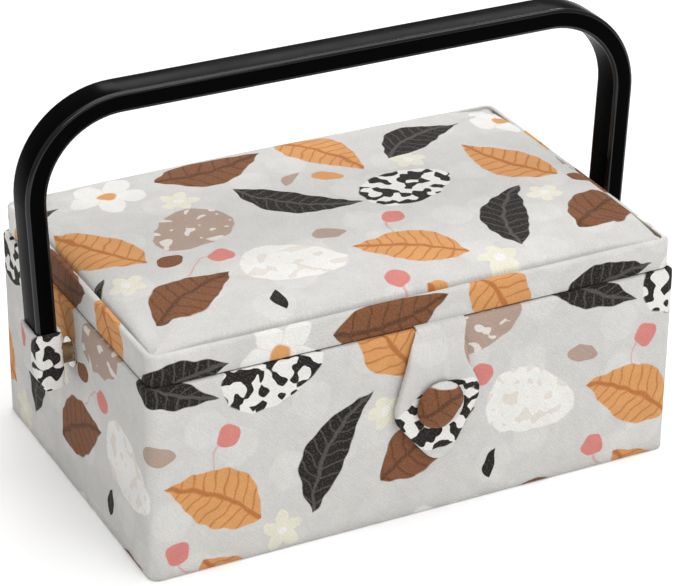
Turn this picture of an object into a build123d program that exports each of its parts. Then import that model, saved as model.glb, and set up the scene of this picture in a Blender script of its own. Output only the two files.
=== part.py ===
"""Fabric-covered sewing box: padded hinged lid, strap tab with a covered button, bail handle, lift-out tray.

Millimetres. Origin at the middle of the underside, +X along the length, -Y to the front, +Z up.
Drawn closed, with the handle upright and the tab fastened.
"""
import os
from math import radians, sin

from build123d import *

os.makedirs("parts", exist_ok=True)

# ---------------------------------------------------------------- driving dimensions
# Body
body_length = 260.0
body_depth = 170.0
body_height = 94.0
corner_radius = 5.0
board = 3.0                 # walls and base board
cover = 0.8                 # printed fabric with its thin wadding
base_cloth = 0.6
lining = 1.2                # cloth-covered card
floor_pad_height = 2.5

# Lid
lid_inset = 2.0             # the lid's faces lie this far inside the body's
lid_band_height = 14.3      # lower edge to rolled rim
lid_gap = 0.3               # between the closed lid and the body's rim
rail = 1.8                  # thickness of the lid frame's strips
rim_round = 1.0             # rails' upper outer edge
lid_board_thickness = 2.5
rim_recess = 4.6            # rolled rim down to the lid board
card = 1.5
crown = 5.8                 # top of the padding at the middle, above the rim
crown_radius = 6000.0
pad_edge = 4.5              # rounding of the padded top's edge
crease = 0.4                # between the padded top and the rim
lid_lining_thickness = 1.5
pin_cushion_length = 96.0
pin_cushion_depth = 62.0
pin_cushion_height = 6.5
pocket_length = 104.0
pocket_depth = 104.0
pocket_thickness = 1.6
lid_fitting_offset = 58.0   # pin cushion and pocket, each side of the middle

# Cloth hinge
hinge_cloth = 0.5
hinge_length = 236.0
hinge_leaf = 11.0

# Tray
tray_clearance = 1.0
tray_height = 26.0
tray_below_rim = 14.0
tray_wall = 1.6
front_trough = 52.0
rear_compartments = 4
support_thickness = 3.0
support_length = 150.0
seat_gap = 0.2
notch_radius = 11.0

# Strap tab
tab_offset = 6.0            # tab and button, to the right of the middle
tab_top_width = 24.0
tab_shoulder_width = 44.0   # between its corners, before they are rounded
tab_shoulder_drop = 35.0    # hinge line down to those corners
tab_shoulder_radius = 12.0
tab_length = 62.0           # hinge line down to the rounded tip
tab_tip_radius = 9.0
tab_tip_slope = 32.0        # the flanks below the shoulders, from upright
tab_thickness = 5.0
tab_edge = 1.8
tab_standoff = 1.1          # body cover to the tab's back
tab_fabric = 1.0
tab_core_thickness = 1.5
tab_core_margin = 3.0
tongue = 0.8

# Covered button and press stud
button_drop = 36.0          # the body's rim down to its centre
button_diameter = 23.0
button_rise = 5.4
button_metal = 0.6
button_fabric = 0.7
button_back_thickness = 1.0
button_back_diameter = 16.0
snap_flange_diameter = 10.0
snap_flange = 0.8
snap_post_diameter = 4.4
snap_post = 1.4
snap_shank_diameter = 3.0
snap_play = 0.4
socket_depth = 2.4
socket_stem_diameter = 5.0

# Handle
handle_rise = 101.2         # the body's rim up to the top of the bar
handle_width = 16.8         # across the box
handle_thickness = 9.6
handle_shoulder = 41.0      # bend radius of its centre line
handle_lean = 3.2           # each leg leans in by this, from the bend to its end
handle_below_pins = 10.0
handle_edge = 1.6
pivot_drop = 22.0           # the body's rim down to the pins' axis

# Handle sleeves and pins
sleeve_above_pins = 16.0
sleeve_below_pins = 12.5
sleeve_wall = 1.5
sleeve_play = 0.1
sleeve_edge = 1.3
sleeve_taper = 3.4
sleeve_taper_height = 7.0
pin_diameter = 4.0
pin_play = 0.06
pin_head_diameter = 8.0
pin_head = 1.2
pin_tail = 1.0
running_gap = 0.2
washer_diameter = 14.0
washer = 0.8
spacer_diameter = 9.0
spacer_length = 5.8         # holds the handle clear of the box
back_plate_diameter = 16.0
back_plate = 0.8

# ---------------------------------------------------------------- places that follow from them
wall_length = body_length - 2 * cover
wall_depth = body_depth - 2 * cover
wall_top = body_height - cover
inner_length = wall_length - 2 * board
inner_depth = wall_depth - 2 * board
floor_level = base_cloth + board
clear_length = inner_length - 2 * lining
clear_depth = inner_depth - 2 * lining

lid_length = body_length - 2 * lid_inset
lid_depth = body_depth - 2 * lid_inset
lid_bottom = body_height + lid_gap
lid_rim = lid_bottom + lid_band_height
rail_length = lid_length - 2 * cover
rail_depth = lid_depth - 2 * cover
rail_bottom = lid_bottom + cover
rail_top = lid_rim - cover
recess_length = rail_length - 2 * rail
recess_depth = rail_depth - 2 * rail
lid_board_top = lid_rim - rim_recess
lid_board_bottom = lid_board_top - lid_board_thickness
lid_ceiling = lid_board_bottom - lid_lining_thickness
panel_length = recess_length - 2 * crease
panel_depth = recess_depth - 2 * crease

tray_length = clear_length - 2 * tray_clearance
tray_depth = clear_depth - 2 * tray_clearance
tray_top = body_height - tray_below_rim
tray_bottom = tray_top - tray_height
support_bottom = floor_level + floor_pad_height
support_top = tray_bottom - seat_gap

front_face = -body_depth / 2
tab_back = front_face - tab_standoff
tab_front = tab_back - tab_thickness
hinge_line = body_height + lid_gap / 2
tab_top = hinge_line - lid_gap

button_height = body_height - button_drop
pivot_height = body_height - pivot_drop
handle_end = pivot_height - handle_below_pins
bar_height = body_height + handle_rise - handle_thickness / 2
leg_slope = handle_lean / (bar_height - handle_shoulder - handle_end)
cover_face = body_length / 2
sleeve_inner = cover_face + washer + spacer_length + running_gap
pivot_x = sleeve_inner + sleeve_wall + sleeve_play + handle_thickness / 2
leg_outer = pivot_x + handle_thickness / 2
leg_end_x = pivot_x - leg_slope * (pivot_height - handle_end)
bend_x = leg_end_x + leg_slope * (bar_height - handle_end)
sleeve_top = pivot_height + sleeve_above_pins
sleeve_bottom = pivot_height - sleeve_below_pins
plate_seat = inner_length / 2 + pin_tail + back_plate + 2 * running_gap

sides = {"left": -1, "right": 1}


def finish(part, name):
    """Label a finished piece and write its STEP file."""
    part.label = name
    export_step(part, f"parts/{name}.step")


def bore_along_x(diameter, start, end, height):
    """Cut a round hole along X, between two places, at the handle's pivot height or another."""
    with Locations(((start + end) / 2, 0, height)):
        Cylinder(diameter / 2, abs(end - start), rotation=(0, 90, 0), mode=Mode.SUBTRACT)


def bore_at_button(diameter, start, end):
    """Cut a round hole along Y, between two places, on the button's axis."""
    with Locations((tab_offset, (start + end) / 2, button_height)):
        Cylinder(diameter / 2, abs(end - start), rotation=(90, 0, 0), mode=Mode.SUBTRACT)


def disc_along_x(diameter, start, end, height):
    """Add a round disc or shank along X, between two places."""
    with Locations(((start + end) / 2, 0, height)):
        Cylinder(diameter / 2, abs(end - start), rotation=(0, 90, 0))


def disc_at_button(diameter, start, end):
    """Add a round disc or shank along Y, between two places, on the button's axis."""
    with Locations((tab_offset, (start + end) / 2, button_height)):
        Cylinder(diameter / 2, abs(end - start), rotation=(90, 0, 0))


# ---------------------------------------------------------------- body: boards
with BuildPart() as base_board:
    with BuildSketch(Plane.XY.offset(base_cloth)):
        Rectangle(inner_length, inner_depth)
    extrude(amount=board)
finish(base_board.part, "base_board")

with BuildPart() as wall_ring:
    with BuildSketch(Plane.XY.offset(base_cloth)):
        RectangleRounded(wall_length, wall_depth, corner_radius - cover)
        Rectangle(inner_length, inner_depth, mode=Mode.SUBTRACT)
    extrude(amount=wall_top - base_cloth)
    bore_along_x(pin_diameter + 2 * pin_play, -body_length, body_length, pivot_height)
    bore_along_x(back_plate_diameter + 2 * pin_play, -plate_seat, plate_seat, pivot_height)
    bore_at_button(snap_shank_diameter, 2 * front_face, 0)
    bore_at_button(snap_flange_diameter, front_face + cover + board - snap_flange, 0)

for name, sign in {"front_wall": -1, "back_wall": 1}.items():
    with BuildPart() as long_wall:
        add(wall_ring.part)
        with Locations((0, sign * (wall_depth - board) / 2, body_height / 2)):
            Box(wall_length, board, body_height, mode=Mode.INTERSECT)
    finish(long_wall.part, name)

for side, sign in sides.items():
    with BuildPart() as end_wall:
        add(wall_ring.part)
        with Locations((sign * (wall_length - board) / 2, 0, body_height / 2)):
            Box(board, inner_depth, body_height, mode=Mode.INTERSECT)
    finish(end_wall.part, f"{side}_wall")

# ---------------------------------------------------------------- body: coverings and linings
with BuildPart() as body_cover:
    with BuildSketch(Plane.XY.offset(base_cloth)):
        RectangleRounded(body_length, body_depth, corner_radius)
    extrude(amount=body_height - base_cloth)
    fillet(body_cover.faces().sort_by(Axis.Z)[-1].edges(), cover * 0.9)
    with BuildSketch(Plane.XY.offset(base_cloth)):
        RectangleRounded(wall_length, wall_depth, corner_radius - cover)
    extrude(amount=wall_top - base_cloth, mode=Mode.SUBTRACT)
    with BuildSketch(Plane.XY.offset(wall_top)):
        Rectangle(inner_length, inner_depth)
    extrude(amount=2 * cover, mode=Mode.SUBTRACT)
    bore_along_x(pin_diameter + 2 * pin_play, -body_length, body_length, pivot_height)
    bore_at_button(snap_shank_diameter, 2 * front_face, 0)
finish(body_cover.part, "body_cover")

with BuildPart() as base_cover:
    with BuildSketch():
        RectangleRounded(wall_length, wall_depth, corner_radius - cover)
    extrude(amount=base_cloth)
finish(base_cover.part, "base_cover")

for name, sign in {"front_lining": -1, "back_lining": 1}.items():
    with BuildPart() as long_lining:
        with BuildSketch(Plane.XY.offset(floor_level)):
            with Locations((0, sign * (inner_depth - lining) / 2)):
                Rectangle(inner_length, lining)
        extrude(amount=wall_top - floor_level)
    finish(long_lining.part, name)

for side, sign in sides.items():
    with BuildPart() as end_lining:
        with BuildSketch(Plane.XY.offset(floor_level)):
            with Locations((sign * (inner_length - lining) / 2, 0)):
                Rectangle(lining, clear_depth)
        extrude(amount=wall_top - floor_level)
    finish(end_lining.part, f"{side}_lining")

with BuildPart() as floor_pad:
    with BuildSketch(Plane.XY.offset(floor_level)):
        Rectangle(clear_length, clear_depth)
    extrude(amount=floor_pad_height)
finish(floor_pad.part, "floor_pad")

# ---------------------------------------------------------------- tray and what it rests on
for side, sign in sides.items():
    with BuildPart() as tray_support:
        with BuildSketch(Plane.XY.offset(support_bottom)):
            with Locations((sign * (clear_length - support_thickness) / 2, 0)):
                Rectangle(support_thickness, support_length)
        extrude(amount=support_top - support_bottom)
    finish(tray_support.part, f"{side}_tray_support")

rear_pitch = (tray_length - tray_wall) / rear_compartments
rear_depth = tray_depth - 3 * tray_wall - front_trough
with BuildPart() as tray:
    with BuildSketch(Plane.XY.offset(tray_bottom)):
        RectangleRounded(tray_length, tray_depth, 2 * tray_wall)
    extrude(amount=tray_height)
    with BuildSketch(Plane.XY.offset(tray_bottom + tray_wall)):
        with Locations((0, (front_trough - tray_depth) / 2 + tray_wall)):
            RectangleRounded(tray_length - 2 * tray_wall, front_trough, tray_wall)
        with Locations((0, (tray_depth - rear_depth) / 2 - tray_wall)):
            with GridLocations(rear_pitch, 0, rear_compartments, 1):
                RectangleRounded(rear_pitch - tray_wall, rear_depth, tray_wall)
    extrude(amount=tray_height, mode=Mode.SUBTRACT)
    for sign in sides.values():
        bore_along_x(2 * notch_radius, sign * (tray_length / 2 - 2 * tray_wall), sign * tray_length, tray_top)
finish(tray.part, "tray")

# ---------------------------------------------------------------- lid: frame and boards
with BuildPart() as rail_ring:
    with BuildSketch(Plane.XY.offset(rail_bottom)):
        RectangleRounded(rail_length, rail_depth, corner_radius - cover)
    extrude(amount=rail_top - rail_bottom)
    fillet(rail_ring.faces().sort_by(Axis.Z)[-1].edges(), rim_round)
    with BuildSketch(Plane.XY.offset(rail_bottom)):
        Rectangle(recess_length, recess_depth)
    extrude(amount=lid_band_height, mode=Mode.SUBTRACT)

for name, sign in {"lid_front_rail": -1, "lid_back_rail": 1}.items():
    with BuildPart() as long_rail:
        add(rail_ring.part)
        with Locations((0, sign * (rail_depth - rail) / 2, lid_rim)):
            Box(rail_length, rail, 2 * lid_band_height, mode=Mode.INTERSECT)
    finish(long_rail.part, name)

for side, sign in sides.items():
    with BuildPart() as end_rail:
        add(rail_ring.part)
        with Locations((sign * (rail_length - rail) / 2, 0, lid_rim)):
            Box(rail, recess_depth, 2 * lid_band_height, mode=Mode.INTERSECT)
    finish(end_rail.part, f"lid_{side}_rail")

with BuildPart() as lid_board:
    with BuildSketch(Plane.XY.offset(lid_board_bottom)):
        Rectangle(recess_length, recess_depth)
    extrude(amount=lid_board_thickness)
finish(lid_board.part, "lid_board")

with BuildPart() as top_card:
    with BuildSketch(Plane.XY.offset(lid_board_top)):
        Rectangle(panel_length - 2 * cover, panel_depth - 2 * cover)
    extrude(amount=card)
finish(top_card.part, "top_card")


def crowned_block(inset):
    """The padded top's outline, inset all round, raised from the lid board up to its crowned surface."""
    with BuildPart() as block:
        with BuildSketch(Plane.XY.offset(lid_board_top)):
            Rectangle(panel_length - 2 * inset, panel_depth - 2 * inset)
        extrude(amount=rim_recess + 2 * crown)
        with Locations((0, 0, lid_rim + crown - crown_radius)):
            Sphere(crown_radius - inset, mode=Mode.INTERSECT)
        fillet(block.faces().sort_by(Axis.Z)[-1].edges(), pad_edge - inset)
    return block.part


with BuildPart() as lid_padding:
    add(crowned_block(cover))
    with BuildSketch(Plane.XY.offset(lid_board_top)):
        Rectangle(panel_length, panel_depth)
    extrude(amount=card, mode=Mode.SUBTRACT)
finish(lid_padding.part, "lid_padding")

with BuildPart() as lid_top_cover:
    add(crowned_block(0))
    add(lid_padding.part, mode=Mode.SUBTRACT)
    add(top_card.part, mode=Mode.SUBTRACT)
finish(lid_top_cover.part, "lid_top_cover")

# ---------------------------------------------------------------- lid: coverings and fittings
with BuildPart() as tab_tongue:
    with BuildSketch(Plane.XY.offset(lid_bottom)):
        with Locations((tab_offset, (tab_back + lid_gap - recess_depth / 2) / 2)):
            Rectangle(tab_top_width, abs(tab_back + lid_gap + recess_depth / 2))
    extrude(amount=tongue)
finish(tab_tongue.part, "tab_tongue")

with BuildPart() as lid_band_cover:
    with BuildSketch(Plane.XY.offset(lid_bottom)):
        RectangleRounded(lid_length, lid_depth, corner_radius)
    extrude(amount=lid_band_height)
    fillet(lid_band_cover.faces().sort_by(Axis.Z)[-1].edges(), rim_round + cover)
    with BuildSketch(Plane.XY.offset(lid_bottom)):
        Rectangle(recess_length, recess_depth)
    extrude(amount=lid_band_height, mode=Mode.SUBTRACT)
    add(rail_ring.part, mode=Mode.SUBTRACT)
    add(tab_tongue.part, mode=Mode.SUBTRACT)
finish(lid_band_cover.part, "lid_band_cover")

with BuildPart() as lid_lining:
    with BuildSketch(Plane.XY.offset(lid_ceiling)):
        Rectangle(recess_length, recess_depth)
    extrude(amount=lid_lining_thickness)
finish(lid_lining.part, "lid_lining")

with BuildPart() as pin_cushion:
    with BuildSketch(Plane.XY.offset(lid_ceiling)):
        with Locations((-lid_fitting_offset, 0)):
            RectangleRounded(pin_cushion_length, pin_cushion_depth, pin_cushion_height)
    extrude(amount=-pin_cushion_height)
    fillet(pin_cushion.faces().sort_by(Axis.Z)[0].edges(), pin_cushion_height / 2)
finish(pin_cushion.part, "pin_cushion")

with BuildPart() as lid_pocket:
    with BuildSketch(Plane.XY.offset(lid_ceiling)):
        with Locations((lid_fitting_offset, 0)):
            Rectangle(pocket_length, pocket_depth)
    extrude(amount=-pocket_thickness)
finish(lid_pocket.part, "lid_pocket")

# ---------------------------------------------------------------- cloth hinge, cut at the hinge line
with BuildPart() as hinge_cloth_lower:
    with BuildSketch(Plane.XY.offset(body_height - hinge_leaf)):
        with Locations((0, (body_depth + hinge_cloth) / 2)):
            Rectangle(hinge_length, hinge_cloth)
    extrude(amount=hinge_leaf)
finish(hinge_cloth_lower.part, "hinge_cloth_lower")

with BuildPart() as hinge_cloth_upper:
    with BuildSketch(Plane.XY.offset(lid_bottom)):
        with Locations((0, (lid_depth + hinge_cloth) / 2)):
            Rectangle(hinge_length, hinge_cloth)
    extrude(amount=hinge_leaf)
finish(hinge_cloth_upper.part, "hinge_cloth_upper")

# ---------------------------------------------------------------- press stud on the body
with BuildPart() as snap_stud:
    disc_at_button(snap_flange_diameter, front_face, front_face - snap_flange)
    disc_at_button(snap_post_diameter, front_face, front_face - snap_flange - snap_post)
    disc_at_button(snap_shank_diameter, front_face, front_face + cover + board)
finish(snap_stud.part, "snap_stud")

with BuildPart() as snap_backing:
    disc_at_button(snap_flange_diameter, front_face + cover + board - snap_flange, front_face + cover + board)
    bore_at_button(snap_shank_diameter, front_face, front_face + 2 * board + cover)
finish(snap_backing.part, "snap_backing")

# ---------------------------------------------------------------- strap tab
tab_point = tab_length + tab_tip_radius * (1 / sin(radians(tab_tip_slope)) - 1)


def tab_outline(back):
    """The tab's face at one depth: a neck that flares to rounded shoulders and a rounded tip."""
    with BuildSketch(Plane((tab_offset, back, hinge_line), x_dir=(1, 0, 0), z_dir=(0, -1, 0))) as face:
        Polygon(
            (-tab_top_width / 2, tab_top - hinge_line),
            (-tab_shoulder_width / 2, -tab_shoulder_drop),
            (0, -tab_point),
            (tab_shoulder_width / 2, -tab_shoulder_drop),
            (tab_top_width / 2, tab_top - hinge_line),
            align=None,
        )
        fillet(face.vertices().sort_by(Axis.Y)[1:3], tab_shoulder_radius)
        fillet(face.vertices().sort_by(Axis.Y)[0], tab_tip_radius)
    return face


def core_outline(back):
    """The stiffener's face at one depth: the tab's, drawn in all round, but open at the top."""
    face = tab_outline(back)
    with face:
        offset(amount=-tab_core_margin, mode=Mode.REPLACE)
        with Locations((0, tab_top - hinge_line)):
            Rectangle(tab_top_width - 2 * tab_core_margin, 3 * tab_core_margin, align=(Align.CENTER, Align.MAX))
    return face.sketch


with BuildPart() as tab_core:
    extrude(core_outline(tab_back - tab_fabric), amount=tab_core_thickness)
    bore_at_button(snap_flange_diameter, tab_back, tab_back - socket_depth)
    bore_at_button(socket_stem_diameter, tab_back, 2 * tab_front)
finish(tab_core.part, "tab_core")

with BuildPart() as tab_cover:
    extrude(tab_outline(tab_back).sketch, amount=tab_thickness)
    fillet(tab_cover.faces().sort_by(Axis.Y)[0].edges(), tab_edge)
    extrude(core_outline(tab_back - tab_fabric), amount=tab_core_thickness, mode=Mode.SUBTRACT)
    bore_at_button(snap_flange_diameter, 0, tab_back - socket_depth)
    bore_at_button(socket_stem_diameter, tab_back, 2 * tab_front)
finish(tab_cover.part, "tab_cover")

with BuildPart() as snap_socket:
    disc_at_button(snap_flange_diameter, tab_back, tab_back - socket_depth)
    disc_at_button(socket_stem_diameter, tab_back, tab_front)
    bore_at_button(snap_post_diameter + 2 * snap_play, 0, front_face - snap_flange - snap_post - snap_play)
finish(snap_socket.part, "snap_socket")

# ---------------------------------------------------------------- covered button
button_plane = Plane((tab_offset, tab_front, button_height), x_dir=(1, 0, 0), z_dir=(0, 0, -1))
button_axis = Axis((tab_offset, tab_front, button_height), (0, -1, 0))
dome_radius = ((button_diameter / 2) ** 2 + button_rise**2) / (2 * button_rise)


def dome_section(outer_inset, thickness):
    """Half the section of one layer of the button: a spherical cap drawn in from the button's face."""
    with BuildSketch(button_plane) as section:
        with Locations((0, button_rise - dome_radius)):
            Circle(dome_radius - outer_inset)
            Circle(dome_radius - outer_inset - thickness, mode=Mode.SUBTRACT)
        Rectangle(button_diameter, button_diameter, align=(Align.MIN, Align.MIN), mode=Mode.INTERSECT)
    return section.sketch


with BuildPart() as button_back:
    disc_at_button(button_back_diameter, tab_front, tab_front - button_back_thickness)
finish(button_back.part, "button_back")

with BuildPart() as button_shell:
    revolve(dome_section(button_fabric, button_metal), axis=button_axis)
finish(button_shell.part, "button_shell")

with BuildPart() as button_cover:
    revolve(dome_section(0, button_fabric), axis=button_axis)
finish(button_cover.part, "button_cover")

# ---------------------------------------------------------------- handle
with BuildPart() as handle:
    with BuildLine(Plane.XZ) as bail:
        centre_line = Polyline(
            (-leg_end_x, handle_end),
            (-bend_x, bar_height),
            (bend_x, bar_height),
            (leg_end_x, handle_end),
        )
        fillet(bail.vertices().filter_by_position(Axis.Z, bar_height - 1, bar_height + 1), handle_shoulder)
    with BuildSketch(Plane(bail.wire() @ 0, x_dir=(0, 1, 0), z_dir=bail.wire() % 0)):
        RectangleRounded(handle_width, handle_thickness, handle_edge)
    sweep(path=bail.wire())
    bore_along_x(pin_diameter + 2 * pin_play, -body_length, body_length, pivot_height)
    for sign in sides.values():
        bore_along_x(
            pin_head_diameter + 2 * pin_play,
            sign * (leg_outer - pin_head - running_gap),
            sign * body_length,
            pivot_height,
        )
finish(handle.part, "handle")

sleeve_reach = handle_thickness / 2 + sleeve_play + sleeve_wall
sleeve_half_width = handle_width / 2 + sleeve_play + sleeve_wall
sleeve_top_x = leg_end_x + leg_slope * (sleeve_top - handle_end)
sleeve_low_x = leg_end_x + leg_slope * (sleeve_bottom - handle_end)

for side, sign in sides.items():
    leg_plane = Plane((sign * leg_end_x, 0, handle_end), x_dir=(0, 1, 0), z_dir=(sign * leg_slope, 0, 1))
    with BuildPart() as sleeve:
        with BuildSketch(Plane((0, 0, 0), x_dir=(sign, 0, 0), z_dir=(0, -sign, 0))):
            Polygon(
                (sleeve_top_x - sleeve_reach, sleeve_top),
                (sleeve_low_x - sleeve_reach, sleeve_bottom),
                (sleeve_low_x + sleeve_reach - sleeve_taper, sleeve_bottom),
                (sleeve_low_x + sleeve_reach, sleeve_bottom + sleeve_taper_height),
                (sleeve_top_x + sleeve_reach, sleeve_top),
                align=None,
            )
        extrude(amount=sleeve_half_width, both=True)
        outer_face = sleeve.faces().sort_by(Axis.X, reverse=sign > 0)[0]
        fillet(outer_face.edges(), sleeve_edge)
        with BuildSketch(leg_plane):
            RectangleRounded(handle_width + 2 * sleeve_play, handle_thickness + 2 * sleeve_play, handle_edge)
        extrude(amount=2 * sleeve_top, mode=Mode.SUBTRACT)
        bore_along_x(pin_diameter + 2 * pin_play, 0, sign * pivot_x, pivot_height)
    finish(sleeve.part, f"{side}_sleeve")

# ---------------------------------------------------------------- pins that the handle turns on
for side, sign in sides.items():
    head_outer = leg_outer - running_gap / 2
    tail_inner = inner_length / 2 + running_gap
    with BuildPart() as pin:
        disc_along_x(pin_head_diameter, sign * (head_outer - pin_head), sign * head_outer, pivot_height)
        disc_along_x(pin_diameter, sign * tail_inner, sign * head_outer, pivot_height)
        disc_along_x(pin_head_diameter, sign * tail_inner, sign * (tail_inner + pin_tail), pivot_height)
    finish(pin.part, f"{side}_pin")

    with BuildPart() as back_washer:
        disc_along_x(back_plate_diameter, sign * (plate_seat - back_plate), sign * plate_seat, pivot_height)
        bore_along_x(pin_diameter + 2 * pin_play, 0, sign * body_length, pivot_height)
    finish(back_washer.part, f"{side}_back_plate")

    with BuildPart() as outer_washer:
        disc_along_x(washer_diameter, sign * cover_face, sign * (cover_face + washer), pivot_height)
        bore_along_x(pin_diameter + 2 * pin_play, 0, sign * body_length, pivot_height)
    finish(outer_washer.part, f"{side}_washer")

    with BuildPart() as spacer:
        disc_along_x(
            spacer_diameter,
            sign * (cover_face + washer),
            sign * (sleeve_inner - running_gap),
            pivot_height,
        )
        bore_along_x(pin_diameter + 2 * pin_play, 0, sign * body_length, pivot_height)
    finish(spacer.part, f"{side}_spacer")
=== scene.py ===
"""Looks of a fabric-covered sewing box with a padded lid, a strap tab and a black bail handle.

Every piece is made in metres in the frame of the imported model, and rides on one of its bodies.
"""

import math
from functools import partial

import bmesh
import bpy
from bmesh.types import BMEdge, BMFace, BMVert
from bpy.props import FloatProperty, FloatVectorProperty, PointerProperty
from mathutils import Matrix, Vector, noise


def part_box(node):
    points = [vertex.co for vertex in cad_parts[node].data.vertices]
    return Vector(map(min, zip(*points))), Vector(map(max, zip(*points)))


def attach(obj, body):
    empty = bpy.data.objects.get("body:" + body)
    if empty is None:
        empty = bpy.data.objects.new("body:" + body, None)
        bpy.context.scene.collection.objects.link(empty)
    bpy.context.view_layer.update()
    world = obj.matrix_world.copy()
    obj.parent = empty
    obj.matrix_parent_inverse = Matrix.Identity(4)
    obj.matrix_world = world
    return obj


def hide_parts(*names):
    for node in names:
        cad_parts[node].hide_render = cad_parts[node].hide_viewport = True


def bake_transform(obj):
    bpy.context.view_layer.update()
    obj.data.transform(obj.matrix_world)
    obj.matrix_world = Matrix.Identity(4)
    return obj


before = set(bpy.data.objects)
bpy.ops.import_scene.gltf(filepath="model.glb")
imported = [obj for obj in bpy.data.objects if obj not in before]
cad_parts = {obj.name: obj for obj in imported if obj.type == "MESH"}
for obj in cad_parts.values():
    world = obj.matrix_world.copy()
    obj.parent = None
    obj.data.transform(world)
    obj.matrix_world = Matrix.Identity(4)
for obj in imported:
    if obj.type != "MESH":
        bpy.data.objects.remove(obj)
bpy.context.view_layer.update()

bl_info = {
    "name": "Sewing Box",
    "version": (1, 0, 0),
    "blender": (4, 5, 0),
    "location": "3D View > Sidebar > Sewing Box",
    "description": "Dresses a fabric-covered sewing box: covers, padding, print, handle and fittings",
    "category": "Object",
}

MM = 0.001
# Vertices and levels closer than this are the same
SAME = 1e-6
PER_METRE = (1000, 1000, 1000)
CLOTH_MAP = "Cloth"
UP = Vector((0, 0, 1))
# The strap tab hangs a little askew: its top lies this far to the right of its card's middle
TAB_TOP_SHIFT = 2.6 * MM


# ------------------------------------------------------------------ sizes and colours
def linear(text):
    """Turn an sRGB hex colour into the linear values that shaders use."""
    parts = [int(text[place:place + 2], 16) / 255 for place in (0, 2, 4)]
    return tuple(part / 12.92 if part <= 0.04045 else ((part + 0.055) / 1.055) ** 2.4 for part in parts)


def size(name, description, millimetres):
    """A length that a user may change, kept in metres."""
    default = millimetres * MM
    return FloatProperty(
        name=name, description=description, default=default, min=0.0, subtype="DISTANCE", unit="LENGTH"
    )


def tint(name, description, text):
    """A colour that a user may change, given as sRGB hex."""
    return FloatVectorProperty(
        name=name, description=description, default=linear(text), min=0.0, max=1.0, size=3, subtype="COLOR"
    )


class SewingBoxSizes(bpy.types.PropertyGroup):
    """Sizes of the soft pieces and small roundings."""

    corner: size("Corner radius", "Rounding of the upright corners of box and lid", 5.0)
    cover: size("Cover thickness", "Printed cotton with its thin wadding", 0.7)
    wall: size("Wall with cover", "From the outer face of the box to its opening", 3.8)
    rim_roll: size("Rim roll", "Radius of the padded roll along the lid's upper edge", 1.7)
    rim_lip: size("Rim lip", "Rounding of the rim where it turns down into the crease", 0.8)
    rim_corner: size("Rim inner corner", "Rounding of the crease's corners, seen from above", 3.6)
    rim_width: size("Rim width", "From the lid's outer face to the crease round the pad", 2.6)
    rim_depth: size("Rim depth", "Depth of the crease inside the lid's rim", 4.6)
    pad_edge: size("Pad edge", "Rounding of the lid pad's upper edge", 4.6)
    pad_drop_x: size("Pad drop at the ends", "How much lower the pad lies at its left and right end", 1.2)
    pad_drop_y: size("Pad drop at the front", "How much lower the pad lies at its front and back", 0.6)
    pad_shoulder: size("Pad shoulder", "How much lower the pad lies just inside its rounded edge", 1.0)
    pad_corner_fall: size("Pad corner fall", "How much lower the pad lies at its thinner corners", 2.2)
    cloth_edge: size("Cloth edge", "Rounding of cloth-covered card", 0.4)
    tab_top_width: size("Tab top width", "Strap tab where it leaves the lid", 25.2)
    tab_shoulder: size("Tab shoulder width", "Strap tab between its corners, before they are rounded", 44.3)
    tab_shoulder_drop: size("Tab shoulder drop", "From the tab's top down to its right corner", 33.9)
    tab_skew: size("Tab skew", "How much lower the tab's left corner hangs", 6.7)
    tab_point: size("Tab point", "From the tab's top down to where its flanks would meet", 71.3)
    tab_voxel: size("Tab mesh", "Mesh size of the tab while it is inflated", 1.0)
    button_radius: size("Button radius", "Radius of the covered button", 11.5)
    handle_edge: size("Handle edge", "Rounding of the handle's edges", 1.6)
    handle_shoulder: size("Handle shoulder", "Bend radius of the handle's centre line", 41.0)
    handle_lean: size("Handle lean", "How far each leg leans in, from its bend to its end", 3.2)
    sleeve_wall: size("Sleeve wall", "Folded cloth round each end of the handle", 1.5)
    sleeve_taper: size("Sleeve taper", "How far the sleeve's lower end is folded in", 3.4)
    cushion_voxel: size("Pin cushion mesh", "Mesh size of the pin cushion while it is inflated", 3.0)


class SewingBoxColours(bpy.types.PropertyGroup):
    """Colours of the cloth, the print and the fittings."""

    ground: tint("Ground", "Pale grey ground of the printed cotton", "CBC9C6")
    white: tint("White", "White motifs", "E4E2DE")
    charcoal: tint("Charcoal", "Charcoal motifs", "1C1B1A")
    flint: tint("Flint", "Fine lines on the charcoal motifs", "524E4B")
    brown: tint("Brown", "Brown motifs", "7C4F33")
    umber: tint("Umber", "Lines on the brown motifs", "5A3824")
    orange: tint("Orange", "Orange motifs", "D2985F")
    rust: tint("Rust", "Lines on the orange motifs", "B06A36")
    taupe: tint("Taupe", "Taupe motifs", "AC978A")
    stone: tint("Stone", "Lines on the taupe motifs", "D9D2CA")
    rose: tint("Rose", "Small round berries", "CF827A")
    cream: tint("Cream", "Faint motifs in the ground", "DDDAC9")
    handle: tint("Handle plastic", "Glossy black of the handle", "060606")
    tray: tint("Tray plastic", "Moulded tray", "ECEBE6")
    lining: tint("Lining", "Plain cotton inside the box", "D9D3CB")
    cushion: tint("Pin cushion", "Plain cotton of the pin cushion", "B9775C")
    base: tint("Base cloth", "Non-woven cloth under the box", "3A3836")
    board: tint("Board", "Pressed grey board", "9A8C79")
    nickel: tint("Nickel", "Plated steel", "CFCBC4")
    brass: tint("Brass", "Antiqued brass of the spacers", "8F7A5E")
    aluminium: tint("Aluminium", "Pressed shell of the button", "D6D6D4")


# ------------------------------------------------------------------ nodes
def feed(tree, item, inputs):
    """Give a node's sockets a value, or link them to a socket or to another node's first output."""
    for key, value in inputs.items():
        if isinstance(value, bpy.types.Node):
            value = value.outputs[0]
        if isinstance(value, bpy.types.NodeSocket):
            tree.links.new(value, item.inputs[key])
        else:
            item.inputs[key].default_value = value


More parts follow.
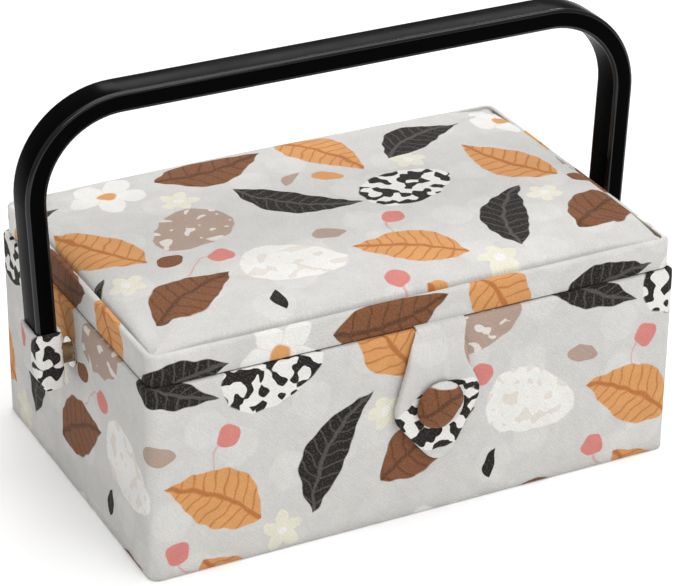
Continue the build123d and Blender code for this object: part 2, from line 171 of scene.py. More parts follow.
def add_node(tree, kind, inputs=(), operation=None, **settings):
    """Add one shader node with its settings; a tuple of inputs fills its first sockets in order.

    Those of a Map Range are value, from min, from max, to min and to max. A colour Mix has its share at 0,
    its colours at 6 and 7, and its result at 2.
    """
    item = tree.nodes.new("ShaderNode" + kind)
    if operation:
        item.operation = operation
    for key, value in settings.items():
        setattr(item, key, value)
    feed(tree, item, dict(enumerate(inputs)) if isinstance(inputs, tuple) else inputs)
    return item


def new_group(name, inputs, output):
    """Start a node group: what adds a node to it, what comes into it, and what ends it with its result."""
    group = bpy.data.node_groups.new(name, "ShaderNodeTree")
    for (title, kind), way in [(socket, "INPUT") for socket in inputs] + [(output, "OUTPUT")]:
        group.interface.new_socket(name=title, in_out=way, socket_type="NodeSocket" + kind)
    given, last = group.nodes.new("NodeGroupInput"), group.nodes.new("NodeGroupOutput")

    def end(result):
        feed(group, last, {0: result})
        return group

    return partial(add_node, group), given.outputs, end


def shared_group(name, make, *given):
    """A node group that several materials use, made once."""
    return bpy.data.node_groups.get(name) or make(name, *given)


def opaque(colour):
    """A colour with full alpha, as colour sockets want it."""
    return (*colour, 1.0)


def sine_wave(add, value, rate):
    """The sine of a value times a rate."""
    return add("Math", (add("Math", (value, rate), "MULTIPLY"),), "SINE")


FLAT_NOISE = {"noise_dimensions": "2D"}
# Turn of a wave per millimetre along the cloth, for slanting ribs that lie 1.2 mm apart
SLANTING_RIBS = math.tau / (1.2 * math.sqrt(2))
# Repeat of the print, in millimetres
REPEAT = (208.0, 156.0)
COLOUR = ("Colour", "Color")
MOTIF_SOCKETS = [
    ("Under", "Color"),
    ("Vector", "Vector"),
    ("Centre", "Vector"),
    ("Turn", "Vector"),
    ("Size", "Vector"),
    ("Ink", "Color"),
    ("Line", "Color"),
    ("Bend", "Float"),
    ("Detail", "Float"),
]


def new_motif(name):
    """Start a motif, as new_group does, with where a point lies on it: from -1 to 1 along and across."""
    add, given, end = new_group(name, MOTIF_SOCKETS, COLOUR)
    apart = add("VectorMath", (given["Vector"], given["Centre"]), "SUBTRACT")
    half_x, half_y = REPEAT[0] / 2, REPEAT[1] / 2
    near = add("VectorMath", (apart, (half_x, half_y, 1), (-half_x, -half_y, -1)), "WRAP")
    space = {"Vector": near, "Rotation": given["Turn"], "Scale": given["Size"]}
    place = add("Mapping", space, vector_type="TEXTURE")
    parts = add("SeparateXYZ", (place,))
    return add, given, end, place, parts.outputs[0], parts.outputs[1]


def lay_ink(add, given, inside, soft, lines):
    """Print a shape with its lines over what is under it, with a slightly soft edge."""
    ink = add("Mix", {0: lines, 6: given["Ink"], 7: given["Line"]}, data_type="RGBA")
    mask = add("MapRange", (inside, 0.0, soft))
    return add("Mix", {0: mask, 6: given["Under"], 7: ink.outputs[2]}, data_type="RGBA").outputs[2]


def leaf_motif():
    """A pointed leaf with a midrib and slanting side veins, which may bend."""
    add, given, end, _, along, across = new_motif("Printed leaf")
    square = add("Math", (along, along), "MULTIPLY")
    bent = add("Math", (square, given["Bend"], across), "MULTIPLY_ADD")
    away = add("Math", (bent,), "ABSOLUTE")
    narrowing = add("Math", (along, -0.35, 1.0), "MULTIPLY_ADD")
    taper = add("Math", (narrowing, 0.3), "MAXIMUM")
    full = add("Math", (1.0, square), "SUBTRACT")
    half = add("Math", (full, taper), "MULTIPLY")
    inside = add("Math", (half, away), "SUBTRACT")
    slant = add("Math", (away, -0.22, along), "MULTIPLY_ADD")
    wave = sine_wave(add, slant, given["Detail"])
    veins = add("MapRange", (wave, 0.72, 1.0, 0.0, 0.75))
    midrib = add("MapRange", (away, 0.11, 0.05, 0.0, 0.9))
    lines = add("Math", (veins, midrib), "MAXIMUM")
    return end(lay_ink(add, given, inside, 0.05, lines))


def pebble_motif():
    """A rounded pebble, wider at one end, that may carry blotches."""
    add, given, end, _, along, across = new_motif("Printed pebble")
    widen = add("Math", (along, given["Bend"], 1.0), "MULTIPLY_ADD")
    side = add("Math", (across, widen), "MULTIPLY")
    side_square = add("Math", (side, side), "MULTIPLY")
    square = add("Math", (along, along, side_square), "MULTIPLY_ADD")
    inside = add("Math", (1.0, square), "SUBTRACT")
    blotch = add("TexNoise", {"Vector": given["Vector"], "Scale": 0.16, "Detail": 0.5}, **FLAT_NOISE)
    full = add("Math", (given["Detail"], 0.02), "ADD")
    spread = add("MapRange", (blotch, given["Detail"], full))
    return end(lay_ink(add, given, inside, 0.07, spread))


def flower_motif():
    """A flower of five round petals with a coloured middle."""
    add, given, end, place, along, across = new_motif("Printed flower")
    angle = add("Math", (across, along), "ARCTAN2")
    # Five lobes, as both halves of each wave point outwards
    lobe_size = add("Math", (sine_wave(add, angle, 2.5),), "ABSOLUTE")
    reach = add("Math", (lobe_size, 0.42, 0.58), "MULTIPLY_ADD")
    radius = add("VectorMath", (place,), "LENGTH").outputs["Value"]
    inside = add("Math", (reach, radius), "SUBTRACT")
    middle = add("MapRange", (radius, 0.28, 0.22))
    fold = add("MapRange", (lobe_size, 0.10, 0.0, 0.0, 0.35))
    lines = add("Math", (middle, fold), "MAXIMUM")
    return end(lay_ink(add, given, inside, 0.05, lines))


def berry_motif():
    """A small round berry on a thin waving stem."""
    add, given, end, place, along, across = new_motif("Printed berry")
    radius = add("VectorMath", (place,), "LENGTH").outputs["Value"]
    berry = add("MapRange", (radius, 1.04, 0.96))
    apart = add("Math", (sine_wave(add, along, given["Bend"]), 0.7, across), "MULTIPLY_ADD")
    away = add("Math", (apart,), "ABSOLUTE")
    stem = add("MapRange", (away, 0.13, 0.05, 0.0, 0.55))
    begun = add("Math", (along, 0.0), "GREATER_THAN")
    ended = add("Math", (along, given["Detail"]), "LESS_THAN")
    span = add("Math", (begun, ended), "MULTIPLY")
    drawn = add("Math", (stem, span), "MULTIPLY")
    line = add("Mix", {0: drawn, 6: given["Under"], 7: given["Line"]}, data_type="RGBA")
    over = add("Mix", {0: berry, 6: line.outputs[2], 7: given["Ink"]}, data_type="RGBA")
    return end(over.outputs[2])


# Motifs of one repeat: kind, place, turn in degrees, half length and half width, ink, line, bend, detail
LARGE_MOTIFS = [
    ("leaf", (24, 24), 28, (27, 14), "brown", "umber", 0.25, 26),
    ("pebble", (78, 30), -20, (24, 16), "white", "stone", 0.28, 0.60),
    ("leaf", (131, 22), 150, (26.5, 14.5), "orange", "rust", -0.30, 30),
    ("leaf", (184, 32), 62, (31, 11), "charcoal", "flint", 0.75, 34),
    ("pebble", (50, 78), 35, (22.5, 16), "taupe", "stone", -0.25, 0.62),
    ("leaf", (103, 82), -38, (31, 10.5), "charcoal", "flint", -0.8, 36),
    ("pebble", (158, 76), 12, (24.5, 16), "white", "charcoal", 0.22, 0.50),
    ("leaf", (4, 80), 118, (27.5, 14), "orange", "rust", 0.28, 28),
    ("flower", (30, 128), 10, (19, 19), "white", "orange", 0, 0),
    ("leaf", (84, 130), 8, (29, 14), "brown", "umber", -0.35, 24),
    ("leaf", (140, 126), -62, (27, 14), "orange", "rust", 0.35, 30),
    ("leaf", (187, 124), 24, (28, 11.5), "charcoal", "flint", 0.55, 32),
]
SMALL_MOTIFS = [
    ("berry", (52, 50), 200, (5.8, 5.4), "rose", "rose", 1.1, 4.2),
    ("berry", (137, 50), 250, (5.8, 5.4), "rose", "rose", 1.0, 4.0),
    ("berry", (112, 154), 310, (5.8, 5.8), "rose", "rose", 1.2, 4.4),
    ("pebble", (104, 48), -12, (8, 4.6), "taupe", "taupe", 0.2, 0.9),
    ("pebble", (30, 54), 20, (7, 4.8), "brown", "brown", 0.2, 0.9),
    ("pebble", (130, 101), -30, (7.5, 4.4), "orange", "orange", 0.2, 0.9),
    ("flower", (4, 43), 0, (9, 9), "cream", "white", 0, 0),
    ("flower", (57, 107), 25, (9.5, 9.5), "cream", "white", 0, 0),
    ("flower", (172, 101), 40, (9, 9), "cream", "white", 0, 0),
    ("flower", (162, 152), 55, (10, 10), "cream", "white", 0, 0),
    ("leaf", (57, 3), 80, (8, 3), "charcoal", "charcoal", 0.5, 0),
    ("leaf", (112, 106), 45, (8, 3.2), "taupe", "taupe", 0.4, 0),
]


def leaf_print(name, colours):
    """The whole printed pattern: ground with faint wash, then small motifs, then large ones."""
    motifs = {"leaf": leaf_motif, "pebble": pebble_motif, "flower": flower_motif, "berry": berry_motif}
    shapes = {kind: make() for kind, make in motifs.items()}
    add, given, end = new_group(name, [("Vector", "Vector")], COLOUR)
    cloth = given[0]
    # Hand-drawn outlines: every edge wavers by about half a millimetre
    waver = add("TexNoise", {"Vector": cloth, "Scale": 0.14, "Detail": 0.0}, **FLAT_NOISE)
    centred = add("VectorMath", (waver.outputs["Color"], (0.5, 0.5, 0.5)), "SUBTRACT")
    place = add("VectorMath", (centred, (2.4, 2.4, 0.0), cloth), "MULTIPLY_ADD")
    # Faint pale rounds in the ground, about 34 mm apart
    rings = add("TexVoronoi", {"Vector": place, "Scale": 1 / 34}, voronoi_dimensions="2D")
    ring = add("MapRange", (rings.outputs["Distance"], 0.30, 0.26, 0.0, 0.22))
    ground = {0: ring, 6: opaque(colours.ground), 7: opaque(colours.white)}
    colour = add("Mix", ground, data_type="RGBA").outputs[2]
    for kind, centre, turn, half, ink, line, bend, detail in SMALL_MOTIFS + LARGE_MOTIFS:
        motif = {
            "Under": colour,
            "Vector": place,
            "Centre": (*centre, 0),
            "Turn": (0, 0, math.radians(turn)),
            "Size": (*half, 1),
            "Ink": opaque(getattr(colours, ink)),
            "Line": opaque(getattr(colours, line)),
            "Bend": bend,
            "Detail": detail,
        }
        colour = add("Group", motif, node_tree=shapes[kind]).outputs[0]
    # Watercolour mottling, from clouds of 12 mm down to grains of under 1 mm
    mottling = {"Vector": cloth, "Scale": 0.08, "Detail": 5.0, "Roughness": 0.68}
    clouds = add("TexNoise", mottling, **FLAT_NOISE)
    strength = add("MapRange", (clouds, 0.3, 0.7, 0.95, 1.04))
    grain = add("TexNoise", {"Vector": cloth, "Scale": 1.1, "Detail": 2.0}, **FLAT_NOISE)
    thread = add("MapRange", (grain, 0.3, 0.7, 0.95, 1.05))
    both = add("Math", (strength, thread), "MULTIPLY")
    washed = add("VectorMath", {0: colour, "Scale": both}, "SCALE")
    # Ink that misses the tops of threads: dark motifs show pale grains
    missed = add("MapRange", (grain, 0.50, 0.74, 0.0, 0.14))
    grains = {0: missed, 6: washed, 7: opaque(colours.taupe)}
    pale = add("Mix", grains, data_type="RGBA", blend_type="LIGHTEN")
    return end(pale.outputs[2])


def cotton_weave(name, twill):
    """Thread relief from cloth places in millimetres: slanting twill ribs, or a plain weave."""
    add, given, end = new_group(name, [("Vector", "Vector")], ("Height", "Float"))
    cloth = given[0]
    slub = add("TexNoise", {"Vector": cloth, "Scale": 0.5, "Detail": 2.0}, **FLAT_NOISE)
    shift = (slub.outputs["Color"], (0.5, 0.5, 0.5), cloth)
    uneven = add("VectorMath", shift, "MULTIPLY_ADD")
    parts = add("SeparateXYZ", (uneven,))
    along, across = parts.outputs[0], parts.outputs[1]
    if twill:
        # Real ribs lie about 0.7 mm apart; they are drawn at 1.2 mm, as fine as the picture can show
        rib = sine_wave(add, add("Math", (along, across), "ADD"), SLANTING_RIBS)
    else:
        # Real threads lie about 0.45 mm apart; they are drawn at 1.1 mm
        threads = tuple(sine_wave(add, way, math.tau / 1.1) for way in (along, across))
        rib = add("Math", threads, "MULTIPLY")
    fuzz = add("TexNoise", {"Vector": cloth, "Scale": 2.2, "Detail": 2.0}, **FLAT_NOISE)
    height = add("Math", (fuzz, 1.6, rib), "MULTIPLY_ADD")
    return end(height)


# ------------------------------------------------------------------ materials
def made_once(make):
    """Let a function that makes a named material hand back the one of that name, if there is one."""

    def find_or_make(name, *given, **settings):
        return bpy.data.materials.get(name) or make(name, *given, **settings)

    return find_or_make


def new_material(name):
    """Start a material: what adds a node to it, and what ends it with the inputs of its main shader."""
    material = bpy.data.materials.new(name)
    material.use_nodes = True
    tree = material.node_tree

    def end(inputs):
        feed(tree, tree.nodes["Principled BSDF"], inputs)
        return material

    return partial(add_node, tree), end


def places(add):
    """Places on a piece in millimetres, from its own coordinates."""
    return add("Mapping", {"Vector": add("TexCoord").outputs["Object"], "Scale": PER_METRE})


def surface(add, colour, shade, height, strength, depth):
    """A shader's inputs for a shaded colour, and for relief of some strength and depth, in millimetres."""
    colour = colour if isinstance(colour, bpy.types.Node) else tuple(colour)
    toned = add("VectorMath", {0: colour, "Scale": shade}, "SCALE")
    bump = add("Bump", {"Strength": strength, "Distance": depth * MM, "Height": height})
    return {"Base Color": toned, "Normal": bump}


@made_once
def printed_cotton(name, colours, shift, turn=0.0, twill=False, relief=0.4):
    """Printed cotton over thin wadding: matt, with thread relief and a faint fuzz at grazing light."""
    add, end = new_material(name)
    cloth = add("UVMap", uv_map=CLOTH_MAP)
    lay = {"Vector": cloth, "Location": (*shift, 0), "Rotation": (0, 0, turn), "Scale": PER_METRE}
    place = add("Mapping", lay)
    leaves = shared_group("Leaf print", leaf_print, colours)
    threads = shared_group("Twill weave" if twill else "Plain weave", cotton_weave, twill)
    pattern = add("Group", (place,), node_tree=leaves)
    weave = add("Group", (place,), node_tree=threads)
    # Painted shade: threads in the hollows of the weave are drawn a little darker
    shade = add("MapRange", (weave, -0.3, 2.0, 0.96, 1.02))
    matt = {"Roughness": 0.9, "Specular IOR Level": 0.14, "Sheen Weight": 0.05, "Sheen Roughness": 0.6}
    return end({**surface(add, pattern, shade, weave, strength=relief, depth=0.12), **matt})


@made_once
def plain_cotton(name, colour, fuzz=0.1):
    """Plain dyed cotton: slanting threads drawn 1.2 mm apart, matt, with painted shade where its threads and
    fibres lie low.
    """
    add, end = new_material(name)
    place = places(add)
    parts = add("SeparateXYZ", (place,))
    first = add("Math", (parts.outputs[0], parts.outputs[1]), "ADD")
    every = add("Math", (first, parts.outputs[2]), "ADD")
    rib = sine_wave(add, every, SLANTING_RIBS)
    fibres = add("TexNoise", {"Vector": place, "Scale": 0.9, "Detail": 4.0})
    height = add("Math", (fibres, 2.4, rib), "MULTIPLY_ADD")
    # Painted shade: the colour is darker where the relief of threads and fibres lies low
    shade = add("MapRange", (height, 0.0, 2.4, 0.86, 1.06))
    matt = {"Roughness": 0.92, "Specular IOR Level": 0.15, "Sheen Weight": fuzz}
    return end({**surface(add, colour, shade, height, strength=0.5, depth=0.15), **matt})


@made_once
def flecked(name, colour, dark, scale, rough, relief):
    """A pressed or felted sheet: board, card or non-woven cloth, with fibres and flecks.

    Its flecks go down to a dark share of its colour, and are smaller where the scale is larger.
    """
    add, end = new_material(name)
    fine = {"Vector": places(add), "Scale": scale, "Detail": 6.0, "Roughness": 0.7}
    fibres = add("TexNoise", fine)
    shade = add("MapRange", (fibres, 0.35, 0.65, dark, 1.08))
    matt = {"Roughness": rough, "Specular IOR Level": 0.2}
    return end({**surface(add, colour, shade, fibres, strength=relief, depth=0.2), **matt})


def grey_card(colours):
    """Smooth grey card, inside the tab and under the lid's pad."""
    return flecked("Grey card", colours.taupe, dark=0.9, scale=1.2, rough=0.85, relief=0.2)


@made_once
def moulded(name, colour, rough, specular):
    """Injection-moulded plastic: fine grain that scatters the highlights, slight flow marks."""
    add, end = new_material(name)
    place = places(add)
    grain = add("TexNoise", {"Vector": place, "Scale": 1.4, "Detail": 3.0})
    flow = add("TexNoise", {"Vector": place, "Scale": 0.05, "Detail": 3.0})
    roughness = add("MapRange", (flow, 0.35, 0.65, *rough))
    shade = add("MapRange", (flow, 0.3, 0.7, 0.92, 1.08))
    gloss = {"Roughness": roughness, "IOR": 1.5, "Specular IOR Level": specular}
    return end({**surface(add, colour, shade, grain, strength=0.12, depth=0.05), **gloss})


@made_once
def plated(name, colour, rough):
    """Pressed and plated metal: bright, with a slightly uneven polish and handling marks."""
    add, end = new_material(name)
    marks = add("TexNoise", {"Vector": places(add), "Scale": 0.7, "Detail": 5.0})
    roughness = add("MapRange", (marks, 0.3, 0.7, *rough))
    shade = add("MapRange", (marks, 0.3, 0.7, 0.85, 1.0))
    bright = {"Roughness": roughness, "Metallic": 1.0}
    return end({**surface(add, colour, shade, marks, strength=0.08, depth=0.05), **bright})


def dress(material, *names):
    """Give CAD pieces that keep their own shape a finished material."""
    for name in names:
        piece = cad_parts[name]
        if not piece.material_slots:
            piece.data.materials.append(material)
        for slot in piece.material_slots:
            slot.material = material


# ------------------------------------------------------------------ shaping
def pick(items, kind):
    """The vertices, edges or faces among what an operator gives back."""
    return [item for item in items if isinstance(item, kind)]


def block(low, high):
    """A box between two corners."""
    bm = bmesh.new()
    bmesh.ops.create_cube(bm, size=1.0)
    bmesh.ops.scale(bm, vec=high - low, verts=bm.verts)
    bmesh.ops.translate(bm, vec=(low + high) / 2, verts=bm.verts)
    return bm


def round_off(bm, parts, radius, segments, affect="EDGES"):
    """Round edges, or the corners of a flat outline, with a given radius."""
    shape = {"offset_type": "OFFSET", "profile": 0.5, "affect": affect, "material": -1}
    whole = affect == "EDGES"
    bmesh.ops.bevel(bm, geom=parts, offset=radius, segments=segments, clamp_overlap=whole, **shape)


def upright_edges(bm):
    """The edges that stand upright."""
    return [edge for edge in bm.edges if abs((edge.verts[0].co - edge.verts[1].co).normalized().z) > 0.99]


def facing(bm, direction):
    """The faces that look in a direction."""
    bm.normal_update()
    return [face for face in bm.faces if face.normal.dot(direction) > 0.99]


def largest(faces):
    """The face with the most area."""
    return max(faces, key=lambda face: face.calc_area())


def brink(bm, level):
    """The edges at a height where an upright face meets a flat one."""
    bm.normal_update()
    return [
        edge
        for edge in bm.edges
        if all(abs(vert.co.z - level) < SAME for vert in edge.verts)
        and len(edge.link_faces) == 2
        and abs(edge.link_faces[0].normal.z - edge.link_faces[1].normal.z) > 0.9
    ]


def beyond_rim(edge, sizes, high):
    """Whether an edge lies on the outside of the lid, rather than at the crease."""
    middle = (edge.verts[0].co + edge.verts[1].co) / 2
    inward = min(high.x - abs(middle.x), high.y - abs(middle.y))
    return inward < sizes.rim_width / 2


def border(faces):
    """The edges round a set of faces."""
    inside = set(faces)
    # A dict keeps them in order, which a set would not
    edges = dict.fromkeys(edge for face in faces for edge in face.edges)
    return [edge for edge in edges if sum(face in inside for face in edge.link_faces) == 1]


def slice_rows(bm, axes, low, high, step):
    """Cut rows across a mesh along some axes, so that it can bend and pucker."""
    for axis in axes:
        span = high[axis] - low[axis]
        rows = max(2, round(span / step))
        across, place = Vector((0, 0, 0)), Vector((0, 0, 0))
        across[axis] = 1
        for row in range(1, rows):
            place[axis] = low[axis] + span * row / rows
            everything = bm.verts[:] + bm.edges[:] + bm.faces[:]
            bmesh.ops.bisect_plane(bm, geom=everything, dist=SAME, plane_co=place, plane_no=across)


def swept_strip(path, left, width, columns):
    """A strip of cloth along x, from its profile of (y, z) places."""
    bm = bmesh.new()
    verts = [bm.verts.new((left, y, z)) for y, z in path]
    edges = [bm.edges.new(pair) for pair in zip(verts, verts[1:])]
    for _column in range(columns):
        swept = bmesh.ops.extrude_edge_only(bm, edges=edges)["geom"]
        edges = pick(swept, BMEdge)
        bmesh.ops.translate(bm, vec=(width / columns, 0, 0), verts=pick(swept, BMVert))
    return bm


def ripple(bm, amount, grain, seed, share=lambda point: 1.0):
    """Move vertices in and out a little along their normals, as cloth over board lies."""
    bm.normal_update()
    for vert in bm.verts:
        lift = noise.noise(vert.co / grain + Vector((seed, seed, seed)))
        vert.co += vert.normal * (lift * amount * share(vert.co))


def ease(value, start, end):
    """0 before start, 1 after end, and smooth between."""
    share = min(max((value - start) / (end - start), 0.0), 1.0)
    return share * share * (3 - 2 * share)


def wrapped_place(point, half_x, half_y, radius):
    """Distance round a rounded rectangle from the middle of its back, and distance in from its edge."""
    flat_x, flat_y, bend = half_x - radius, half_y - radius, radius * math.pi / 2
    over_x, over_y = abs(point.x) - flat_x, abs(point.y) - flat_y
    quarter = flat_x + bend + flat_y
    if over_x > 0 and over_y > 0:
        from_middle = flat_x + bend - radius * math.atan2(over_y, over_x)
        inward = radius - math.hypot(over_x, over_y)
    elif half_y - abs(point.y) < half_x - abs(point.x):
        from_middle, inward = abs(point.x), half_y - abs(point.y)
    else:
        from_middle, inward = quarter - abs(point.y), half_x - abs(point.x)
    side = math.copysign(from_middle, point.x)
    along = 2 * quarter + side if point.y < 0 else -side % (4 * quarter)
    return along, inward, 4 * quarter


def map_wrapped(bm, half_x, half_y, radius, middle=Vector((0, 0, 0))):
    """Lay cloth round an upright piece: along its outline, and up over its edge."""
    layer = bm.loops.layers.uv.new(CLOTH_MAP)
    for face in bm.faces:
        spots = []
        for loop in face.loops:
            along, inward, whole = wrapped_place(loop.vert.co - middle, half_x, half_y, radius)
            spots.append((along, loop.vert.co.z + max(inward, 0)))
        most = max(along for along, _ in spots)
        for loop, (along, height) in zip(face.loops, spots):
            # A face that spans the seam at the back goes on past the whole round
            loop[layer].uv = (along + whole if most - along > whole / 2 else along, height)


def map_flat(bm, first, second):
    """Lay cloth flat against a piece, along two axes."""
    layer = bm.loops.layers.uv.new(CLOTH_MAP)
    for face in bm.faces:
        for loop in face.loops:
            loop[layer].uv = (loop.vert.co[first], loop.vert.co[second])


def piece_from(bm, name, material, body=None, crease=40.0, turn_out=True):
    """Make a finished object from a mesh, with its place in the mesh, and say what it rides on."""
    bmesh.ops.remove_doubles(bm, verts=bm.verts, dist=SAME)
    if turn_out:
        bmesh.ops.recalc_face_normals(bm, faces=bm.faces)
    mesh = bpy.data.meshes.new(name)
    bm.to_mesh(mesh)
    bm.free()
    mesh.materials.append(material)
    mesh.shade_smooth()
    mesh.set_sharp_from_angle(angle=math.radians(crease))
    piece = bpy.data.objects.new(name, mesh)
    bpy.context.scene.collection.objects.link(piece)
    if body:
        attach(piece, body)
    return piece


def subdivide(piece):
    """Smooth a padded piece by one level."""
    smooth = piece.modifiers.new("Smooth cloth", "SUBSURF")
    smooth.levels = 1
    smooth.render_levels = 1


def thicken(piece, thickness):
    """Give an open sheet of cloth its thickness, inwards from its outer face."""
    wall = piece.modifiers.new("Cloth thickness", "SOLIDIFY")
    wall.thickness = thickness
    wall.offset = -1.0
    wall.use_even_offset = True


def thicken_strip(bm):
    """Make a swept strip half a millimetre thick, and lay cloth flat against it."""
    bmesh.ops.recalc_face_normals(bm, faces=bm.faces)
    bmesh.ops.solidify(bm, geom=bm.faces[:], thickness=-0.5 * MM)
    map_flat(bm, 0, 2)


def inflate(piece, held, pressure, most):
    """Round a padded piece by air pressure; held vertices stay, and none moves further than the most."""
    scene, steps = bpy.context.scene, 20
    group = piece.vertex_groups.new(name="held")
    group.add([vert.index for vert in piece.data.vertices if held(vert.co)], 1.0, "REPLACE")
    cloth = piece.modifiers.new("Inflate", "CLOTH")
    cotton = {"quality": 6, "tension_stiffness": 15.0, "compression_stiffness": 15.0}
    air = {"use_pressure": True, "uniform_pressure_force": pressure, "vertex_group_mass": group.name}
    for key, value in {**cotton, **air}.items():
        setattr(cloth.settings, key, value)
    cloth.settings.effector_weights.gravity = 0.0
    cloth.point_cache.frame_start, cloth.point_cache.frame_end = 1, steps
    for step in range(1, steps + 1):
        scene.frame_set(step)
    shaped = piece.evaluated_get(bpy.context.evaluated_depsgraph_get()).to_mesh()
    for vert, moved in zip(piece.data.vertices, shaped.vertices):
        move = moved.co - vert.co
        vert.co += move * min(1.0, most / max(move.length, 1e-9))
    piece.modifiers.remove(cloth)
    piece.vertex_groups.remove(group)
    scene.frame_set(1)


def remeshed(bm, voxel):
    """A copy of a closed mesh with an even grid, ready to be inflated."""
    mesh = bpy.data.meshes.new("Blank")
    bm.to_mesh(mesh)
    bm.free()
    blank = bpy.data.objects.new("Blank", mesh)
    bpy.context.scene.collection.objects.link(blank)
    remesh = blank.modifiers.new("Even grid", "REMESH")
    remesh.mode = "VOXEL"
    remesh.voxel_size = voxel
    bpy.context.view_layer.update()
    even = bmesh.new()
    even.from_mesh(blank.evaluated_get(bpy.context.evaluated_depsgraph_get()).to_mesh())
    bpy.data.objects.remove(blank)
    bpy.data.meshes.remove(mesh)
    return even


def tuck_under_lid(bm, low, high, shift):
    """Thin the tab's top, and slant it by shift, where it comes out from under the lid."""
    back_moves, front_moves_more = 0.7 * MM, 3.7 * MM
    for vert in bm.verts:
        depth = (high.y - vert.co.y) / (high.y - low.y)
        near_lid = ease(vert.co.z, high.z - 17 * MM, high.z - 1 * MM)
        vert.co.y += (back_moves + front_moves_more * depth) * near_lid
        vert.co.x += shift * ease(vert.co.z, high.z - 34 * MM, high.z - 4 * MM)


def tab_folds(point, middle, button):
    """How far the tab's cloth sinks: long folds up from the button, and short puckers round it."""
    sink, fold_width = 0.0, 1.3 * MM
    # Each fold's place across the tab at the top, how far it leans, and its depth
    for across, lean, depth in ((1.8, 0.10, 2.0), (-4.5, -0.22, 1.3), (7.2, 0.12, 1.4)):
        away = (point.x - middle - across * MM - lean * (90 * MM - point.z)) / fold_width
        sink += depth * MM * away * math.exp(-away * away) * ease(point.z, 68 * MM, 80 * MM)
    arm_x, arm_z = point.x - button.x, point.z - button.z
    reach, puckers = math.hypot(arm_x, arm_z), 9
    wave = math.sin(math.atan2(arm_z, arm_x) * puckers + 4 * noise.noise(point / (12 * MM)))
    return sink + 0.4 * MM * wave * ease(reach, 10 * MM, 13 * MM) * (1 - ease(reach, 13 * MM, 19 * MM))


def cloth_panel(node, body, material, room, sag):
    """A cloth-covered card or thin pad in the place of a CAD node, softly uneven towards the room."""
    low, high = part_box(node)
    sizes = bpy.context.scene.sewing_box_sizes
    spans = high - low
    thin = min(range(3), key=lambda axis: spans[axis])
    wide = [axis for axis in range(3) if axis != thin]
    bm = block(low, high)
    round_off(bm, bm.edges[:], min(sizes.cloth_edge, spans[thin] * 0.4), 2)
    slice_rows(bm, wide, low, high, 6 * MM)
    level = high[thin] if room[thin] > 0 else low[thin]
    for vert in bm.verts:
        if abs(vert.co[thin] - level) < 10 * SAME:
            # Dents of about 22 mm and of about 8 mm
            lift = noise.noise(vert.co / (22 * MM)) * 0.6 + noise.noise(vert.co / (8 * MM)) * 0.25 - 0.4
            inset = min(min(vert.co[axis] - low[axis], high[axis] - vert.co[axis]) for axis in wide)
            vert.co += Vector(room) * (lift * sag * ease(inset, 0, 6 * MM))
    piece = piece_from(bm, node + "_cloth", material, body)
    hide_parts(node)
    return piece


# ------------------------------------------------------------------ pieces
def chosen(context):
    """The sizes and colours that are set in the sidebar."""
    return context.scene.sewing_box_sizes, context.scene.sewing_box_colours


class SEWINGBOX_OT_body_cover(bpy.types.Operator):
    """Printed cotton stretched round the box and turned in over its rim"""

    bl_idname = "sewing_box.body_cover"
    bl_label = "Body Cover"

    def execute(self, context):
        sizes, colours = chosen(context)
        low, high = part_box("body_cover")
        bm = block(low, high)
        round_off(bm, upright_edges(bm), sizes.corner, 6)
        bmesh.ops.delete(bm, geom=facing(bm, -UP), context="FACES_ONLY")
        bmesh.ops.inset_region(bm, faces=facing(bm, UP), thickness=sizes.wall, use_even_offset=True)
        middle = [face for face in facing(bm, UP) if len(face.verts) > 4]
        rim = border(facing(bm, UP))
        opening = border(middle)
        bmesh.ops.delete(bm, geom=middle, context="FACES_ONLY")
        round_off(bm, [edge for edge in rim if edge not in opening], 1.1 * MM, 3)
        slice_rows(bm, (0, 1, 2), low, high, 5 * MM)

        def between_edges(point):
            return ease(point.z, 2 * MM, 20 * MM) * (1 - ease(point.z, 80 * MM, 93 * MM))

        ripple(bm, 0.22 * MM, 45 * MM, 0.0, between_edges)
        map_wrapped(bm, high.x, high.y, sizes.corner)
        cotton = printed_cotton("Printed cotton twill, box", colours, (12, -14), twill=True)
        piece = piece_from(bm, "body_cover_cloth", cotton, "box", turn_out=False)
        thicken(piece, sizes.cover)
        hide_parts("body_cover")
        return {"FINISHED"}


